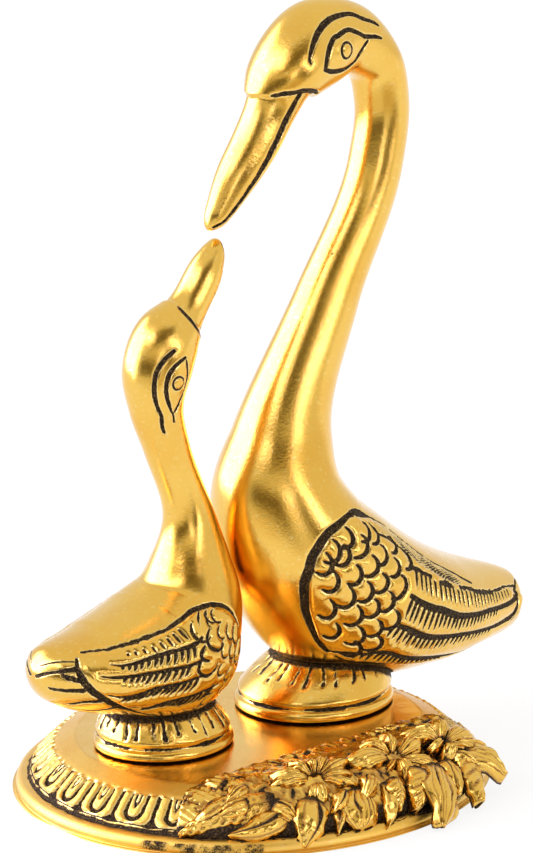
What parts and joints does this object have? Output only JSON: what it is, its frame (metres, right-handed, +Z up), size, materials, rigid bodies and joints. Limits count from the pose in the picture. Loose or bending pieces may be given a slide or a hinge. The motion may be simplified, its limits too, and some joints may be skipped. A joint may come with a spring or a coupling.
{
  "type": "duck figurine",
  "caption": "Gilt cast ornament: a tall duck bends its neck down to a small duck that looks up, on a round base with a petal moulding and a flower spray.",
  "frame": {"origin": "middle of the round base's underside, on the surface that it stands on", "axes": "+Z up; the tall duck faces -X and the small duck faces +X; the flower spray is on the -Y side"},
  "size_m": [0.1559, 0.1277, 0.1957],
  "materials": {
    "antique_gilt": "polished gold plating, softly worn, with dark brown patina in the carved lines",
    "antique_gilt_base": "polished gold plating on the flat top, slightly sandy on the edge, with dark brown patina between petals and leaves"
  },
  "bodies": {
    "root": {"base": "antique_gilt_base", "large_duck": "antique_gilt", "small_duck": "antique_gilt"}
  },
  "joints": []
}
